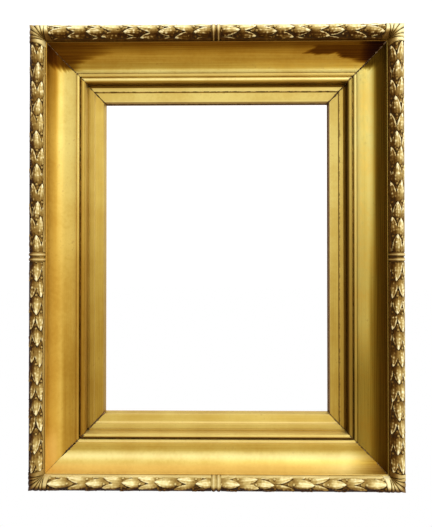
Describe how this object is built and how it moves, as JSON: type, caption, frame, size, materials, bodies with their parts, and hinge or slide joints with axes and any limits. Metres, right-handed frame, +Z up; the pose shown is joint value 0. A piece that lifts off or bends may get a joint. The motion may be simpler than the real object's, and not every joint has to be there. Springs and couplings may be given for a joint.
{
  "type": "picture frame",
  "caption": "Rectangular gilded picture frame: mitred cove moulding with a raised laurel-leaf rim, stepped inner slip, open rabbet, hanging rings and turn buttons.",
  "frame": {"origin": "centre of the back plane, which lies against the wall, on the axis of the sight opening", "axes": "+X to the right seen from the front, +Y backwards into the wall, +Z up; the gilded front faces -Y"},
  "size_m": [0.4192, 0.0719, 0.5208],
  "materials": {
    "gilded_moulding": "gold leaf over gesso and bole on pine, with an ochre side and a bare back",
    "gilded_slip": "satin gold over gesso on pine",
    "gilded_ornament": "cast composition ornament, toned gold with dark recesses",
    "brass_hardware": "aged brass",
    "nail_steel": "darkened steel wire"
  },
  "bodies": {
    "frame": {"top_rail": "gilded_moulding", "right_stile": "gilded_moulding", "bottom_rail": "gilded_moulding", "left_stile": "gilded_moulding", "slip_top": "gilded_slip", "slip_right": "gilded_slip", "slip_bottom": "gilded_slip", "slip_left": "gilded_slip", "laurel_top_left": "gilded_ornament", "laurel_top_right": "gilded_ornament", "laurel_right_upper": "gilded_ornament", "laurel_right_lower": "gilded_ornament", "laurel_bottom_right": "gilded_ornament", "laurel_bottom_left": "gilded_ornament", "laurel_left_lower": "gilded_ornament", "laurel_left_upper": "gilded_ornament", "tie_top": "gilded_ornament", "tie_right": "gilded_ornament", "tie_bottom": "gilded_ornament", "tie_left": "gilded_ornament", "corner_cap_upper_right": "gilded_ornament", "corner_cap_lower_right": "gilded_ornament", "corner_cap_lower_left": "gilded_ornament", "corner_cap_upper_left": "gilded_ornament", "corner_nails": "nail_steel", "slip_nails": "nail_steel", "screw_eye_left": "brass_hardware", "screw_eye_right": "brass_hardware", "turn_button_screws": "brass_hardware"},
    "ring_left": {"hanging_ring_left": "brass_hardware"},
    "ring_right": {"hanging_ring_right": "brass_hardware"},
    "button_upper_left": {"turn_button_upper_left": "brass_hardware"},
    "button_upper_right": {"turn_button_upper_right": "brass_hardware"},
    "button_lower_left": {"turn_button_lower_left": "brass_hardware"},
    "button_lower_right": {"turn_button_lower_right": "brass_hardware"}
  },
  "joints": [
    {"name": "ring_swing_left", "type": "hinge", "parent": "frame", "child": "ring_left", "pos_m": [-0.18, 0.0073, 0.09005], "axis": [1, 0, 0], "range_deg": [-15, 195]},
    {"name": "ring_swing_right", "type": "hinge", "parent": "frame", "child": "ring_right", "pos_m": [0.18, 0.0073, 0.09005], "axis": [1, 0, 0], "range_deg": [-15, 195]},
    {"name": "button_turn_upper_left", "type": "hinge", "parent": "frame", "child": "button_upper_left", "pos_m": [-0.162, 0.001, 0.13], "axis": [0, -1, 0], "continuous": true},
    {"name": "button_turn_upper_right", "type": "hinge", "parent": "frame", "child": "button_upper_right", "pos_m": [0.162, 0.001, 0.13], "axis": [0, 1, 0], "continuous": true},
    {"name": "button_turn_lower_left", "type": "hinge", "parent": "frame", "child": "button_lower_left", "pos_m": [-0.162, 0.001, -0.13], "axis": [0, -1, 0], "continuous": true},
    {"name": "button_turn_lower_right", "type": "hinge", "parent": "frame", "child": "button_lower_right", "pos_m": [0.162, 0.001, -0.13], "axis": [0, 1, 0], "continuous": true}
  ]
}
